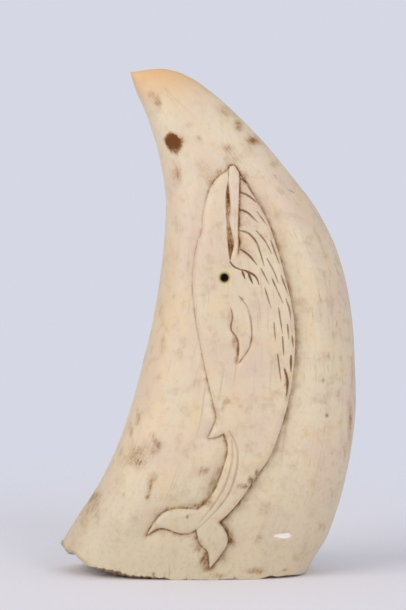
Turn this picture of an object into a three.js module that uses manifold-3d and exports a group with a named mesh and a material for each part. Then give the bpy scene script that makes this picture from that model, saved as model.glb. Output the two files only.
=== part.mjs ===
// A sperm whale's tooth carved with a baleen whale in low relief, standing on its open root.
// Millimetres, +Z up. The carved face looks along -Y, the tooth leans over towards -X, and the
// origin is at the middle of the bounding box's underside.
//
// The tooth is a loft between two edge curves. The ground round the whale slopes down to the
// outline of the figure, so that the whale, left at the height of the old surface, stands proud.
// The eye is a small dark pin, set in a drilled hole.

import * as THREE from "three";
import { mergeVertices } from "three/addons/utils/BufferGeometryUtils.js";
import Module from "manifold-3d";

const wasm = await Module();
wasm.setup();

// ---- Driving dimensions -------------------------------------------------------------------

const HEIGHT = 145;
const HALF_WIDTH = 42.5;

// The tooth seen from the front, [x, z] from under the root up to the tip.
const CONCAVE_EDGE = [
  [-47, 1], [-42.4, 8.5], [-38, 15.6], [-31.3, 26.1], [-24.8, 40.1], [-18.7, 61.1],
  [-14.3, 82], [-12.3, 102.9], [-13.4, 116.7], [-17.3, 130.6], [-20.7, 138.4], [-22.4, 144],
];
const CONVEX_EDGE = [
  [25.8, -5], [28.9, 0], [34.9, 12], [39.5, 26.1], [42.1, 42], [42.6, 54.1], [41.2, 75],
  [38.3, 89], [32.2, 103], [22, 116.8], [9.5, 130.7], [-2.6, 140.9], [-12.3, 144.9], [-22.4, 144],
];

// Half the thickness, as a share of half the width, at the root, halfway up and at the tip.
const THICKNESS_SHARES = { root: 0.46, middle: 0.575, tip: 0.75 };
const SECTION_POWER = 2.3; // above 2, the two faces are flatter than an ellipse's
const TIP_BLUNTNESS = 5; // half widths below this keep a rounder, blunter section

// The root's underside, seen from the front: level on the right, broken away on the left.
// Behind the middle of the tooth the break is shallower.
const LEVEL_FROM_X = -10;
const BREAK_BEHIND = { share: 0.45, fromY: 10 };
const ROOT_BREAK = [
  [-HALF_WIDTH, 8.5], [-41.4, 6.9], [-38.8, 6.4], [-36.5, 4.6], [-34.3, 3.2], [-30, 3],
  [-26.3, 2.4], [-22.5, 1.3], [-16, 0.8], [LEVEL_FROM_X, 0],
];

// The hollow that the pulp left, as shares of the tooth's own section.
const PULP = { widthShare: 0.82, depthShare: 0.7, apexAt: 0.42, roundness: 1.7 };

// Depths of the carving, counted from the old surface.
const GROUND_CUT = 1.4; // beside the whale's outline
const GROUND_REACH = 6; // how far the slope runs out from it
const MOUTH_CUT = 0.9;
const FLIPPER_RISE = 0.35;
const LIP_RISE = 0.2;

const EYE = { x: 4.5, z: 85.7, holeRadius: 1, holeDepth: 3.2, pinRadius: 0.62, gap: 0.3 };

const STATIONS = 38;
const TIP_STATIONS = [0.987, 0.994, 0.998, 0.9995]; // closer together, where the tip rounds off
const FRONT_STEPS = 28;
const BACK_STEPS = 14;
const OUTLINE_STEP = 1.9; // between two points of a carved outline
const FRONT_CLEAR = -30; // y of a plane in front of everything

// ---- The carved outlines, [x, z] ------------------------------------------------------------
// Each outline is a ring of smooth runs that meet at corners.

const WHALE = [
  // from the snout down the back to the blowhole's step, and on to the back fin's point
  [[6.8, 117.6], [5.5, 116.2], [3.4, 114.8], [1.4, 112.9], [-0.1, 110], [-1.7, 104],
    [-2.1, 99], [-3.2, 96.4]],
  [[-3.2, 96.4], [-4.2, 91.5], [-4.8, 83.8], [-3.8, 73.8], [-1, 59.7], [1.3, 50.2],
    [2.1, 46.3], [1.3, 43.6], [-0.3, 40.3]],
  // under the fin, and down the tail's left side
  [[-0.3, 40.3], [1.8, 40.6], [4.3, 41.7]],
  [[4.3, 41.7], [5.4, 38.3], [4.8, 34], [1.6, 25.5], [-2.8, 20.3]],
  // the left fluke, out to its point and back to the notch
  [[-2.8, 20.3], [-9.4, 20.4], [-12.8, 19.3], [-15.6, 16.4], [-17.9, 12.5]],
  [[-17.9, 12.5], [-14.8, 14.4], [-12.3, 14.6], [-8.6, 13.3], [-5.6, 13.3], [-3.5, 14.4]],
  // the lower fluke
  [[-3.5, 14.4], [-2.9, 11.3], [-1.7, 9.3], [-0.2, 7.7], [0.3, 2.8]],
  [[0.3, 2.8], [3.5, 6.7], [5.6, 10.4], [5.2, 13.4], [3.3, 16.5]],
  // the belly and the throat, back up to the snout
  [[3.3, 16.5], [8.5, 21.9], [13.9, 29.8], [17.4, 34.9], [20.5, 42.6], [23.4, 53.4],
    [24.8, 66.2], [24.1, 76.4], [20.8, 90.1], [17, 101.6], [10.9, 112.4], [8.4, 116.2],
    [6.8, 117.6]],
];

const FLIPPER = [
  [[9, 79.6], [10.8, 77], [12, 71.5], [11.6, 66.5], [8.4, 61.8]],
  [[8.4, 61.8], [8.7, 67], [6.5, 71.5], [6.4, 77.2]],
  [[6.4, 77.2], [7.4, 79], [9, 79.6]],
];

const MOUTH = [
  [[5.6, 113], [4.8, 106], [5.2, 97], [6.1, 90]],
  [[6.1, 90], [7.3, 95.4], [6.1, 101.4], [6, 109.8], [5.6, 113]],
];

const LIP = [
  [[5.8, 113], [6, 115.8], [7, 116.6], [8.5, 115], [8.7, 111], [8.3, 98], [7.9, 92.2], [6.6, 90]],
  [[6.6, 90], [7.6, 95.2], [6.4, 101.4], [6.3, 109.8], [5.8, 113]],
];

// ---- Solids ---------------------------------------------------------------------------------

const curveThrough = (points) =>
  new THREE.SplineCurve(points.map(([x, z]) => new THREE.Vector2(x, z)));

const concaveEdge = curveThrough(CONCAVE_EDGE);
const convexEdge = curveThrough(CONVEX_EDGE);

// The points of a ring of runs, about OUTLINE_STEP apart, each corner once.
function outlinePoints(runs) {
  return runs.flatMap((run) => {
    const curve = curveThrough(run);
    const steps = Math.max(2, Math.round(curve.getLength() / OUTLINE_STEP));
    return curve.getSpacedPoints(steps).slice(0, -1);
  });
}

// A closed BufferGeometry as a manifold-3d solid.
function solidOf(geometry) {
  const bare = geometry.clone();
  bare.deleteAttribute("normal");
  bare.deleteAttribute("uv");
  const merged = mergeVertices(bare, 1e-4);
  return new wasm.Manifold(
    new wasm.Mesh({
      numProp: 3,
      vertProperties: merged.attributes.position.array,
      triVerts: new Uint32Array(merged.index.array),
    }),
  );
}

// A manifold-3d solid as a BufferGeometry with flat faces.
function geometryOf(solid) {
  const mesh = solid.getMesh();
  return new THREE.BufferGeometry()
    .setAttribute("position", new THREE.BufferAttribute(mesh.vertProperties, 3))
    .setIndex(new THREE.BufferAttribute(mesh.triVerts, 1))
    .toNonIndexed();
}

// Everything inside an [x, z] outline, from in front of the tooth back to the plane y = backY.
function prismGeometry(points, backY, steps = 1) {
  const shape = new THREE.Shape(points);
  const depth = backY - FRONT_CLEAR;
  const geometry = new THREE.ExtrudeGeometry(shape, { depth, steps, bevelEnabled: false });
  return geometry.rotateX(Math.PI / 2).translate(0, backY, 0);
}

const prism = (points, backY) => solidOf(prismGeometry(points, backY));

// Half the thickness as a share of half the width, t going from 0 at the root to 1 at the tip.
function thicknessShare(t) {
  const { root, middle, tip } = THICKNESS_SHARES;
  return t < 0.5
    ? THREE.MathUtils.lerp(root, middle, t * 2)
    : THREE.MathUtils.lerp(middle, tip, t * 2 - 1);
}

// The angles round a section: 0 on the concave edge, a quarter turn at the carved face.
function sectionAngles() {
  const front = Array.from({ length: FRONT_STEPS }, (_, i) => (Math.PI * i) / FRONT_STEPS);
  const back = Array.from(
    { length: BACK_STEPS },
    (_, i) => Math.PI * (1 + i / BACK_STEPS),
  );
  return [...front, ...back];
}

// A point of the tooth's skin, or of a smaller skin inside it.
function sectionPoint(t, angle, widthShare = 1, depthShare = 1) {
  const left = concaveEdge.getPointAt(t);
  const right = convexEdge.getPointAt(t);
  const across = right.clone().sub(left).multiplyScalar(0.5);
  const half = across.length();
  const thickness = thicknessShare(t) * Math.sqrt(half * Math.max(half, TIP_BLUNTNESS));
  const flatten = (v) => Math.sign(v) * Math.abs(v) ** (2 / SECTION_POWER);
  const place = left.add(across).addScaledVector(across, -flatten(Math.cos(angle)) * widthShare);
  return new THREE.Vector3(place.x, -flatten(Math.sin(angle)) * thickness * depthShare, place.y);
}

// A closed loft through the given stations, with pointAt(t, angle) giving its skin.
function loft(stations, pointAt) {
  const angles = sectionAngles();
  const rings = stations.map((t) => angles.map((angle) => pointAt(t, angle)));
  const middleOf = (ring) =>
    ring.reduce((sum, p) => sum.add(p), new THREE.Vector3()).divideScalar(ring.length);
  const points = [...rings.flat(), middleOf(rings[0]), middleOf(rings.at(-1))];
  const count = angles.length;
  const [firstPole, lastPole] = [points.length - 2, points.length - 1];
  const lastRing = (rings.length - 1) * count;
  const faces = [];
  for (let j = 0; j < count; j++) {
    const next = (j + 1) % count;
    faces.push(firstPole, next, j);
    faces.push(lastPole, lastRing + j, lastRing + next);
    for (let i = 0; i + 1 < rings.length; i++) {
      const [low, high] = [i * count, (i + 1) * count];
      faces.push(low + j, low + next, high + next);
      faces.push(low + j, high + next, high + j);
    }
  }
  return new THREE.BufferGeometry().setFromPoints(points).setIndex(faces);
}

// The distance from a point to an outline, 0 inside it.
function distanceOutside(outline, x, z) {
  let nearest = Infinity;
  let inside = false;
  for (let i = 0; i < outline.length; i++) {
    const a = outline[i];
    const b = outline[(i + 1) % outline.length];
    const [dx, dz] = [b.x - a.x, b.y - a.y];
    const along = ((x - a.x) * dx + (z - a.y) * dz) / (dx * dx + dz * dz);
    const k = THREE.MathUtils.clamp(along, 0, 1);
    nearest = Math.min(nearest, Math.hypot(x - a.x - k * dx, z - a.y - k * dz));
    if (a.y > z !== b.y > z && x < a.x + (dx * (z - a.y)) / dz) inside = !inside;
  }
  return inside ? 0 : nearest;
}

// The whole tooth, its carved face sunk by sink(x, z).
function toothBlank(sink) {
  const stations = Array.from({ length: STATIONS }, (_, i) => i / STATIONS);
  return solidOf(
    loft([...stations, ...TIP_STATIONS], (t, angle) => {
      const point = sectionPoint(t, angle);
      const facing = Math.max(0, Math.sin(angle));
      point.y += sink(point.x, point.z) * Math.min(1, 2 * facing);
      return point;
    }),
  );
}

// The tooth with its ground cut back round the whale, and the whale standing on it.
function carvedTooth() {
  const whale = outlinePoints(WHALE);
  const groundSink = (x, z) => {
    const near = 1 - distanceOutside(whale, x, z) / GROUND_REACH;
    return near > 0 ? GROUND_CUT * near * near : 0;
  };
  const raised = (runs, rise) =>
    toothBlank(() => -rise).intersect(prism(outlinePoints(runs), -3));
  const mouth = prism(outlinePoints(MOUTH), -3).subtract(toothBlank(() => MOUTH_CUT));
  return toothBlank(groundSink)
    .add(raised(WHALE, 0))
    .add(raised(FLIPPER, FLIPPER_RISE))
    .add(raised(LIP, LIP_RISE))
    .subtract(mouth);
}

// The hollow left by the pulp: open below, closing to a blunt point partway up the tooth.
function pulpCavity() {
  const steps = 16;
  const stations = Array.from({ length: steps }, (_, i) => (PULP.apexAt * i) / (steps - 0.5));
  return solidOf(
    loft(stations, (t, angle) => {
      const taper = Math.sqrt(1 - (t / PULP.apexAt) ** PULP.roundness);
      return sectionPoint(t, angle, PULP.widthShare * taper, PULP.depthShare * taper);
    }),
  );
}

// Everything above the root's underside.
function aboveRoot() {
  const reach = 2 * HALF_WIDTH;
  const corners = [
    [-HALF_WIDTH, HEIGHT + reach], ...ROOT_BREAK, [reach, 0], [reach, HEIGHT + reach],
  ].map(([x, z]) => new THREE.Vector2(x, z));
  const geometry = prismGeometry(corners, -FRONT_CLEAR, 12);
  const place = geometry.getAttribute("position");
  for (let i = 0; i < place.count; i++) {
    const behind = THREE.MathUtils.clamp(place.getY(i) / BREAK_BEHIND.fromY, 0, 1);
    const share = THREE.MathUtils.lerp(1, BREAK_BEHIND.share, behind);
    if (place.getZ(i) < HEIGHT) place.setZ(i, place.getZ(i) * share);
  }
  return solidOf(geometry);
}

// The y of the carved face at the eye, found on the section that runs through it.
function eyeFaceY() {
  let best = { miss: Infinity };
  for (let t = 0; t < 1; t += 0.005) {
    for (let angle = 0; angle < Math.PI; angle += 0.02) {
      const p = sectionPoint(t, angle);
      const miss = Math.hypot(p.x - EYE.x, p.z - EYE.z);
      if (miss < best.miss) best = { miss, y: p.y };
    }
  }
  return best.y;
}

// A cylinder along Y from frontY back.
function cylinderAlongY(radius, frontY, depth, segments) {
  return new THREE.CylinderGeometry(radius, radius, depth, segments).translate(
    0, frontY + depth / 2, 0,
  );
}

// The pin: a turned peg with a domed head, which looks along -Y.
function eyePinGeometry() {
  const { pinRadius: r, holeDepth, gap } = EYE;
  const profile = new THREE.Path();
  profile.moveTo(0, 0);
  profile.lineTo(r, 0);
  profile.lineTo(r, holeDepth - gap - r / 2);
  profile.quadraticCurveTo(r, holeDepth - gap, 0, holeDepth - gap);
  return new THREE.LatheGeometry(profile.getPoints(5), 20).rotateX(Math.PI);
}

// ---- The model ------------------------------------------------------------------------------

const faceY = eyeFaceY();
const eyeHole = solidOf(
  cylinderAlongY(EYE.holeRadius, faceY - 1, EYE.holeDepth + 1, 24).translate(EYE.x, 0, EYE.z),
);

const tooth = new THREE.Mesh(
  geometryOf(carvedTooth().subtract(pulpCavity()).subtract(eyeHole).intersect(aboveRoot())),
  new THREE.MeshStandardMaterial({ color: 0xe0cfb4, roughness: 0.45, metalness: 0 }),
);
tooth.name = "tooth";

const eyePin = new THREE.Mesh(
  eyePinGeometry(),
  new THREE.MeshStandardMaterial({ color: 0x160c08, roughness: 0.3, metalness: 0 }),
);
eyePin.name = "eye_pin";
eyePin.position.set(EYE.x, faceY + EYE.holeDepth - EYE.gap, EYE.z);

const part = new THREE.Group();
part.add(tooth, eyePin);
export default part;
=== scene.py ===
# %% [markdown]
# # A whale carved on a sperm whale's tooth
# Sailors rubbed a tooth smooth, cut a picture into it and let dark soot settle in the cuts. Here
# the ground was scraped away as well, so that the whale stands in low relief. There are two pieces:
# the tooth, open below where the pulp was, and a little dark pin for the eye.

# %% Load the frame
import math

import bpy
import numpy as np
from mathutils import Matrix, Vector, kdtree, noise


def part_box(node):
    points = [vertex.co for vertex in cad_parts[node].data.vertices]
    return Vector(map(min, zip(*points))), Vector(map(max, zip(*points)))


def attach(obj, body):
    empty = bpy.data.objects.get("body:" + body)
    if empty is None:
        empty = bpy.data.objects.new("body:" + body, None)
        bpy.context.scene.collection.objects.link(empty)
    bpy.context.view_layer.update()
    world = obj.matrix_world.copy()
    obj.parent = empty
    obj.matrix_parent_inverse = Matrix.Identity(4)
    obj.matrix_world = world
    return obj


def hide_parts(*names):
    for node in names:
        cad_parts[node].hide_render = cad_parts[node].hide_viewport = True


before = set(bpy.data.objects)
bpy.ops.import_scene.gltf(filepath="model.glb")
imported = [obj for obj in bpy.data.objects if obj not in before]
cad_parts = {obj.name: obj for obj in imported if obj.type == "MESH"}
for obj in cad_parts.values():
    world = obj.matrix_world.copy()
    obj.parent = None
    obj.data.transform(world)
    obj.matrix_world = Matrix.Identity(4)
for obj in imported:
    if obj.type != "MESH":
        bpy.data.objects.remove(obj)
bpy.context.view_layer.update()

print("nodes:", sorted(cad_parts))

# %% [markdown]
# ## The drawing
# A relief like this starts as a drawing on the tooth. So the outlines below are drawn in
# millimetres on the upright XZ plane, and everything is carved straight back from there. The
# frame's box says how large a drawn millimetre really is, so the drawing keeps to the frame.

# %% Scale of the drawing
DRAWN_HEIGHT = 144.9
tooth_low, tooth_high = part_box("tooth")
tooth_tall = tooth_high.z - tooth_low.z
MM = tooth_tall / DRAWN_HEIGHT
print(f"a drawn millimetre is {MM * 1000:.4f} mm")


# %% A smooth run through a few points
CURVE_SAMPLES = 60  # for each given point


def smooth_run(points, spacing):
    """Evenly spaced points of the smooth curve (a Catmull-Rom spline) through the given ones."""
    knots = np.array([points[0], *points, points[-1]], float)
    place = np.linspace(0, len(points) - 1, CURVE_SAMPLES * len(points))
    first = np.minimum(place.astype(int), len(points) - 2)
    k = (place - first)[:, None]
    a, b, c, d = (knots[first + step] for step in range(4))
    curve = b + 0.5 * k * (c - a + k * (2 * a - 5 * b + 4 * c - d + k * (3 * (b - c) + d - a)))
    along = np.append(0, np.linalg.norm(np.diff(curve, axis=0), axis=1).cumsum())
    stops = np.linspace(0, along[-1], max(3, round(along[-1] / spacing) + 1))
    return np.stack([np.interp(stops, along, curve[:, n]) for n in range(curve.shape[1])], 1)


# %% The tooth's two edges, seen from the front, from the root up to the tip
CONCAVE_EDGE = [
    (-47, 1), (-42.4, 8.5), (-38, 15.6), (-31.3, 26.1), (-24.8, 40.1), (-18.7, 61.1),
    (-14.3, 82), (-12.3, 102.9), (-13.4, 116.7), (-17.3, 130.6), (-20.7, 138.4), (-22.4, 144),
]
CONVEX_EDGE = [
    (25.2, -5), (28.2, 0), (31.3, 5.6), (34.9, 12), (39.5, 26.1), (42.1, 42), (42.6, 54.1),
    (41.2, 75), (38.3, 89), (32.2, 103), (22, 116.8), (9.5, 130.7), (-2.6, 140.9), (-12.3, 144.9),
    (-22.4, 144),
]
concave_edge, convex_edge = (smooth_run(edge, 0.4) for edge in (CONCAVE_EDGE, CONVEX_EDGE))
print(len(concave_edge), "and", len(convex_edge), "points on the edges")

# %% [markdown]
# ## The skin of the tooth
# A tooth could be sculpted, or lofted with a curve and a bevel object. Its section is an oval that
# changes steadily from root to tip, so a formula says it best: a superellipse, a little squarer than
# an ellipse, between the two edges. A point of the skin is then two numbers: how far up it is, from
# 0 at the root to 1 at the tip, and its angle round the section.

# %% The section formula
THICKNESS_SHARES = (0.46, 0.575, 0.75)  # thickness over width at the root, halfway up and at the tip
TIP_BLUNTNESS = 5.0  # half widths below this keep a rounder section
SECTION_POWER = 2.3  # 2 is an ellipse
SQUARE_ROOT, SQUARE_UP_TO, SQUARE_RAMP = 1.0, 0.34, 1.5  # the convex side is squarer near the root


def on_edge(edge, up):
    """The point a share `up` of the way along an edge."""
    share = np.linspace(0, 1, len(edge))
    return np.stack([np.interp(up, share, edge[:, n]) for n in (0, 1)], -1)


def flatten(wave, power=SECTION_POWER):
    """A wave with flatter crests, which makes an oval squarer."""
    return np.sign(wave) * np.abs(wave) ** (2 / power)


def skin(up, angle, width_share=1.0, depth_share=1.0):
    """Points of the smooth skin, in drawn mm. Angle 0 is the concave edge, a quarter turn the face."""
    left = on_edge(concave_edge, up)
    across = (on_edge(convex_edge, up) - left) / 2
    half = np.linalg.norm(across, axis=-1)
    share = np.interp(up, (0, 0.5, 1), THICKNESS_SHARES)
    thickness = share * np.sqrt(half * np.maximum(half, TIP_BLUNTNESS))
    squarer = np.clip(-SQUARE_RAMP * np.cos(angle), 0, 1) * np.clip(1 - up / SQUARE_UP_TO, 0, 1)
    power = SECTION_POWER + SQUARE_ROOT * squarer
    place = left + across * (1 - flatten(np.cos(angle), power) * width_share)[..., None]
    back = -flatten(np.sin(angle), power) * thickness * depth_share
    return np.stack([place[..., 0], back, place[..., 1]], -1)


halfway = skin(np.array(0.5), np.array(math.pi / 2))
print(f"thickness halfway up: {-2 * halfway[1]:.1f} mm")

# %% [markdown]
# ## The broken root and the hollow inside
# The root end is thin-walled. It was level enough to stand on at one side, and broke away at the
# other. The hollow that held the pulp runs up inside and closes to a blunt point. Skin, rim and
# hollow are one closed surface, so that a single mesh can be printed or weighed.

# %% Where the underside lies
ROOT_BREAK = [  # x and height of the broken edge, down to where it is level
    (-42.5, 8.5), (-41.4, 6.9), (-38.8, 6.4), (-36.5, 4.6), (-34.3, 3.2), (-30, 3), (-26.3, 2.4),
    (-22.5, 1.3), (-16, 0.8), (-10, 0), (30, 0),
]
BREAK_BEHIND, BEHIND_REACH = 0.55, 10.0  # the break is this share lower, this far behind the middle
RAGGED = [(2.9, 0.13, 0), (5.3, 0.1, 1.2), (8.9, 0.07, 2.1)]  # radians per mm, height in mm, phase
RAGGED_FROM = 0.8  # the waves have their full height where the break is this high
KNOB = (-37, -29)  # the thick corner on the left ends between these, worn round and never broken
CALM_AT_KNOB = ((-34.5, -30), (0.1, 1))  # x, and the share of the waves that is left there
PULP_WIDTH, PULP_DEPTH, PULP_TOP, PULP_ROUNDNESS = 0.82, 0.7, 0.42, 1.7


def underside(x, y):
    """The height of the root's rim. The broken part is ragged, and hangs lower at the back."""
    height = np.interp(x, *zip(*ROOT_BREAK)) * (1 - BREAK_BEHIND * np.clip(y / BEHIND_REACH, 0, 1))
    waves = sum(tall * np.sin(x * often + start) for often, tall, start in RAGGED)
    return height + waves * np.clip(height / RAGGED_FROM, 0, 1) * np.interp(x, *CALM_AT_KNOB)


def hollow(up, angle):
    """Points of the hollow's wall, which closes at PULP_TOP."""
    taper = np.sqrt(np.clip(1 - (up / PULP_TOP) ** PULP_ROUNDNESS, 0, 1))
    return skin(up, angle, PULP_WIDTH * taper, PULP_DEPTH * taper)


RIM_ANGLES = np.radians(np.arange(361))
RIM_STOPS = np.linspace(0, 0.2, 801)  # the shares of the way up where the rim is looked for


def rim_table(surface):
    """For each of the angles, how far up a surface meets the underside."""
    points = surface(*np.meshgrid(RIM_STOPS, RIM_ANGLES, indexing="ij"))
    below = points[..., 2] < underside(points[..., 0], points[..., 1])
    return RIM_STOPS[np.minimum(below.sum(axis=0), len(RIM_STOPS) - 1)]


outer_rim, inner_rim = rim_table(skin), rim_table(hollow)
print(f"the rim lies {outer_rim.min():.3f} to {outer_rim.max():.3f} of the way up")


# %% One parameter that runs down the outside, across the rim and up the hollow
def skin_point(path, angle):
    """path 0..1 runs from the tip down to the rim, 1..2 across the rim, 2..3 up the hollow."""
    outside = 1 + (np.interp(angle, RIM_ANGLES, outer_rim) - 1) * np.clip(path, 0, 1)
    start = np.interp(angle, RIM_ANGLES, inner_rim)
    inside = start + (PULP_TOP - start) * np.sin(np.clip(path - 2, 0, 1) * math.pi / 2)
    outer, inner = skin(outside, angle), hollow(inside, angle)
    points = outer + (inner - outer) * np.clip(path - 1, 0, 1)[..., None]
    on_rim = (path > 1) & (path < 2)
    points[on_rim, 2] = underside(points[on_rim, 0], points[on_rim, 1])
    return points, np.where(path < 2, outside, inside)


# %% [markdown]
# ## The whale's outlines
# Each outline is a ring of smooth runs that meet at corners, such as a fluke's point. It has only
# the points that its shape needs.

# %% The outlines of the whale and its parts
WHALE = [
    # from the snout down the back, over the blowhole's step, to the point of the back fin
    [(6.8, 117.6), (6.1, 117.3), (5.5, 116.2), (3.4, 114.8), (1.4, 112.9), (-0.1, 110), (-1.7, 104),
     (-2.1, 99), (-3.2, 96.4)],
    [(-3.2, 96.4), (-4.2, 91.5), (-4.8, 83.8), (-3.8, 73.8), (-1, 59.7), (1.3, 50.2),
     (2.1, 46.3), (1.3, 43.6), (-0.3, 40.3)],
    # under the fin, and down the left side of the tail
    [(-0.3, 40.3), (1.8, 40.6), (4.3, 41.7)],
    [(4.3, 41.7), (5.4, 38.3), (4.8, 34), (1.6, 25.5), (-2.8, 20.3)],
    # the left fluke, out to its point and back to the notch
    [(-2.8, 20.3), (-9.4, 20.4), (-12.8, 19.3), (-15.6, 16.4), (-17.9, 12.5)],
    [(-17.9, 12.5), (-14.8, 14.4), (-12.3, 14.6), (-8.6, 13.3), (-5.6, 13.3), (-3.5, 14.4)],
    # the lower fluke
    [(-3.5, 14.4), (-2.9, 11.3), (-1.7, 9.3), (-0.2, 7.7), (0.3, 2.8)],
    [(0.3, 2.8), (3.5, 6.7), (5.6, 10.4), (5.2, 13.4), (3.3, 16.5)],
    # the belly and the throat, back up to the snout
    [(3.3, 16.5), (8.5, 21.9), (13.9, 29.8), (17.4, 34.9), (20.5, 42.6), (23.4, 53.4),
     (24.8, 66.2), (24.1, 76.4), (20.8, 90.1), (17, 101.6), (10.9, 112.4), (8.4, 116.2), (7.6, 117.4),
     (6.8, 117.6)],
]
MOUTH = [
    [(5.6, 113), (4.9, 110), (4.8, 106), (5.1, 102), (5.2, 97), (5.6, 92.6), (6.1, 90)],
    [(6.1, 90), (6.7, 92.6), (7.3, 95.4), (6.7, 98.2), (6.1, 101.4), (6.3, 106), (6.0, 109.8),
     (5.6, 113)],
]
LIP = [
    [(5.8, 113), (5.9, 116), (6.9, 117.3), (8.6, 115.6), (8.7, 111), (8.4, 103), (8.3, 98),
     (8.5, 95.4), (7.9, 92.2), (6.6, 90)],
    [(6.6, 90), (7.6, 95.2), (7.0, 98.4), (6.4, 101.4), (6.6, 106), (6.3, 109.8), (5.8, 113)],
]
FLIPPER = [
    [(9, 79.6), (10.8, 77), (12, 71.5), (11.6, 66.5), (8.4, 61.8)],
    [(8.4, 61.8), (8.7, 66.8), (8, 69.1), (6.5, 71.3), (7, 74.6), (6.4, 77.2)],
    [(6.4, 77.2), (7.4, 79), (9, 79.6)],
]
OUTLINE_SPACING = 0.8


def outline(runs):
    """The corner points of a ring of runs, each shared corner once."""
    return np.concatenate([smooth_run(run, OUTLINE_SPACING)[:-1] for run in runs])


whale, mouth, lip, flipper = (outline(runs) for runs in (WHALE, MOUTH, LIP, FLIPPER))
print("outline points:", len(whale), len(mouth), len(lip), len(flipper))


# %% How far inside an outline a point lies
def depth_inside(ring, x, z):
    """The distance in mm from each point to a closed outline, negative outside it."""
    result = np.empty(len(x))
    start, step = ring, np.roll(ring, -1, axis=0) - ring
    for part in np.array_split(np.arange(len(x)), len(x) // 5000 + 1):
        dx = x[part, None] - start[:, 0]
        dz = z[part, None] - start[:, 1]
        k = np.clip((dx * step[:, 0] + dz * step[:, 1]) / (step ** 2).sum(axis=1), 0, 1)
        distance = np.hypot(dx - k * step[:, 0], dz - k * step[:, 1]).min(axis=1)
        crosses = (dz < 0) != (dz - step[:, 1] < 0)
        left_of = dx * step[:, 1] < dz * step[:, 0]
        inside = (crosses & (left_of == (step[:, 1] > 0))).sum(axis=1) % 2 == 1
        result[part] = np.where(inside, distance, -distance)
    return result


# %% [markdown]
# ## The engraved lines
# The throat's pleats, the corner of the mouth and the two grooves down the tail are single strokes
# of a pointed tool: quickly deep where it enters, thinner as it leaves, and dark with rubbed-in colour.
# Each is a few points on the drawing, with the stroke's width, depth and darkness.

# %% The strokes
PLEATS = [
    [(9.1, 113.6), (10.2, 112.9), (11.4, 112.0)],
    [(8.9, 109.8), (11.4, 108.7), (13.6, 106.9)],
    [(8.9, 104.8), (11, 104), (13.9, 101.3)],
    [(9, 98.9), (11.2, 98.2), (13.4, 95.9), (14.6, 92.8), (15.7, 89)],
    [(9, 93.7), (11.4, 92), (13.7, 89.3)],
]
BELLY_STROKES = [
    [(13.7, 104.3), (16.5, 100.5)], [(13.5, 98.9), (16, 96), (17.8, 92.5)],
    [(17.6, 96.2), (20, 89.6)], [(16.5, 91.1), (18.4, 87.6), (19.7, 84.2)],
    [(14.8, 88.3), (17.2, 83.7)], [(20.5, 86.3), (22.6, 80.7)], [(18, 85.3), (21.1, 78.4)],
    [(15.9, 82.8), (17.7, 76.9)], [(21.9, 79.7), (22.9, 76.6), (23.2, 73.6)],
    [(19.8, 77.2), (20.9, 69.8)], [(18.5, 73.1), (18.9, 67.7)], [(22.3, 72.6), (22.7, 68.3)],
    [(20.9, 69.1), (21.3, 63.5)], [(23.6, 69.3), (24, 66)], [(19.5, 64.2), (20.5, 56.4)],
]
DEEP_STROKES = [
    [(23.3, 63.7), (23.3, 59.1)],
    [(21.5, 59.9), (22.3, 56.5), (22.1, 52.5)], [(11.2, 87.2), (11.8, 85.6), (12.5, 84)],
    [(9.4, 87.9), (11.4, 87.2), (13, 86.3), (13.8, 85.1), (14.2, 83.8)], [(9.5, 87.7), (10.3, 85.4)],
]
MOUTH_CORNER = [[(6.1, 90.2), (7.2, 88.8), (9.1, 88), (10.6, 87.5)]]
FINE_LINES = [
    [(5.7, 116.2), (5.6, 112.4)], [(5.0, 104), (5.3, 101), (5.1, 98)], [(22.8, 110.5), (24.7, 109.4)],
]
FLIPPER_EDGE = [
    [(8.8, 80.1), (10.7, 77.9), (11.8, 75), (12.2, 71.5), (11.9, 68), (11, 65.2)],
    [(6.3, 77.2), (6.8, 74.6), (6.3, 72.2), (6.9, 70.3), (8, 68.8)],
]
FLIPPER_GOUGE = [
    [(7.7, 69.4), (8.4, 66.8), (8.3, 64.4), (7.8, 62.2)], [(8.6, 80.5), (9.4, 79.6), (10.3, 78.3)],
]
TAIL_GROOVES = [
    [(6.6, 39.6), (6.8, 34.4), (4.8, 27.2), (1, 20.8), (-2.6, 16.6)],
    [(6, 42.3), (8.1, 37.5), (8.0, 31.5), (5.9, 25), (2.4, 20.1), (-3.4, 14.3)],
]
ROOT_CRACKS = [
    [(-11.3, 0), (-11.0, 3.2), (-11.3, 5.6)], [(-15.2, 0.8), (-15.5, 2.8)],
    [(-12.3, 0.3), (-12.5, 2.2)], [(-20.4, 1.1), (-20.9, 2.7)], [(17.9, 0), (18.4, 1.8)],
    [(-6.3, 0), (-6, 1.6)], [(7.6, 0), (7.2, 1.9)], [(-25.6, 2.2), (-25.1, 3.6)],
]
HAIRLINES = [
    [(-13, 140), (-6.5, 133.4), (-1, 128)],
    [(35.5, 60), (35.2, 74), (33.9, 88)], [(29.6, 24), (32.6, 40), (34, 55)],
    [(37.6, 40), (38.3, 52), (37.9, 66)], [(-31, 30), (-25, 43), (-22, 54)],
]
STROKES = [  # the paths, half the width in mm, the depth in mm, and how dark the cut is
    (PLEATS, 0.44, 0.3, 0.82),
    (BELLY_STROKES, 0.36, 0.26, 0.66),
    (DEEP_STROKES, 0.48, 0.4, 1.0),
    (MOUTH_CORNER, 0.34, 0.3, 0.95),
    (FINE_LINES, 0.22, 0.18, 0.6),
    (FLIPPER_EDGE, 0.32, 0.15, 0.42),
    (FLIPPER_GOUGE, 0.5, 0.34, 0.42),
    (TAIL_GROOVES, 0.62, 0.45, 0.3),
    (ROOT_CRACKS, 0.17, 0.35, 0.3),
    (HAIRLINES, 0.15, 0.06, 0.3),
]
print(sum(len(paths) for paths, *_ in STROKES), "strokes")

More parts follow.
